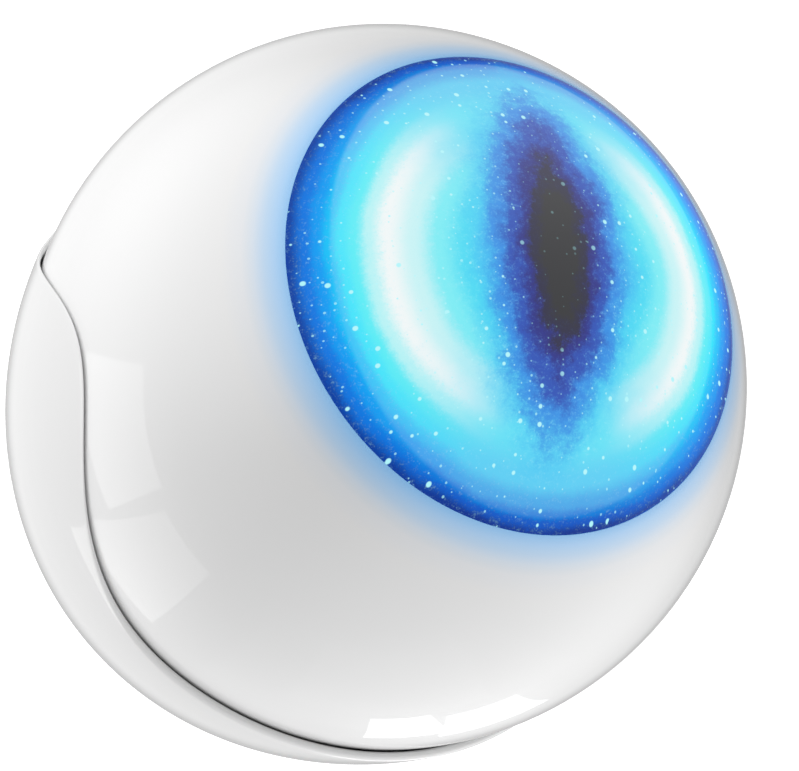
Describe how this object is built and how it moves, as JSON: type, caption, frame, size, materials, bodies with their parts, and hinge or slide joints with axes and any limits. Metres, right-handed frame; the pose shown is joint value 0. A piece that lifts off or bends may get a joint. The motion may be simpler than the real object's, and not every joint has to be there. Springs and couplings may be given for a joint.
{
  "type": "motion sensor",
  "caption": "Round battery-powered motion sensor: a glossy ball with a large domed eye-like lens that swivels in a thin cup holder with a wavy rim.",
  "frame": {"origin": "centre of the flat face that the holder stands on or is stuck by", "axes": "+Z away from that face along the holder's axis through the ball's centre; the cup's two lobes rise along +X and -X; the lens leans a little towards -Y"},
  "size_m": [0.0452, 0.044, 0.0468],
  "materials": {
    "foam_pad": "closed-cell foam with adhesive faces",
    "holder_white": "high gloss moulded",
    "shell_white": "high gloss moulded",
    "lens_blue": "polished clear dome, lit from behind",
    "lens_insert": "milky with fine facets",
    "light_guide": "frosted clear",
    "sensor_can": "nickel plated",
    "sensor_window": "dark coated silicon",
    "circuit_board": "green solder mask",
    "lamp": "moulded lamp body",
    "chip_black": "moulded epoxy",
    "radio_shield": "tinned",
    "copper_wire": "enamelled copper",
    "switch_metal": "stamped",
    "switch_plunger": "moulded",
    "screw_steel": "zinc plated",
    "cradle_plastic": "fine moulded",
    "cell_wrap": "shrink sleeve",
    "contact_metal": "nickel plated spring steel"
  },
  "bodies": {
    "base": {"adhesive_pad": "foam_pad"},
    "holder": {"holder_cup": "holder_white"},
    "cover": {"rear_cover": "shell_white"},
    "sensor": {"front_shell": "shell_white", "lens_dome": "lens_blue", "lens_insert": "lens_insert", "light_guide_ring": "light_guide", "motion_sensor_can": "sensor_can", "motion_sensor_window": "sensor_window", "main_circuit_board": "circuit_board", "lamp_1": "lamp", "lamp_2": "lamp", "lamp_3": "lamp", "light_sensor": "chip_black", "tilt_sensor": "chip_black", "temperature_sensor": "chip_black", "processor_chip": "chip_black", "radio_shield": "radio_shield", "radio_antenna": "copper_wire", "switch_base": "switch_metal", "board_screw_1": "screw_steel", "board_screw_2": "screw_steel", "board_screw_3": "screw_steel", "cell_cradle": "cradle_plastic", "power_cell": "cell_wrap", "positive_contact": "contact_metal", "contact_spring": "contact_metal"},
    "button": {"switch_plunger": "switch_plunger"}
  },
  "joints": [
    {"name": "holder_turn", "type": "hinge", "parent": "base", "child": "holder", "pos_m": [0, 0, 0.0008], "axis": [0, 0, 1], "continuous": true},
    {"name": "ball_tilt", "type": "hinge", "parent": "holder", "child": "cover", "pos_m": [0, 0, 0.0248], "axis": [1, 0, 0], "range_deg": [-76, 64]},
    {"name": "cover_twist", "type": "hinge", "parent": "cover", "child": "sensor", "pos_m": [0, 0, 0.0248], "axis": [0, -0.1115, 0.9938], "range_deg": [0, 20]},
    {"name": "button_press", "type": "slide", "parent": "sensor", "child": "button", "axis": [0, -0.1115, 0.9938], "range_m": [0, 0.0003], "stiffness_N_per_m": 1500}
  ]
}
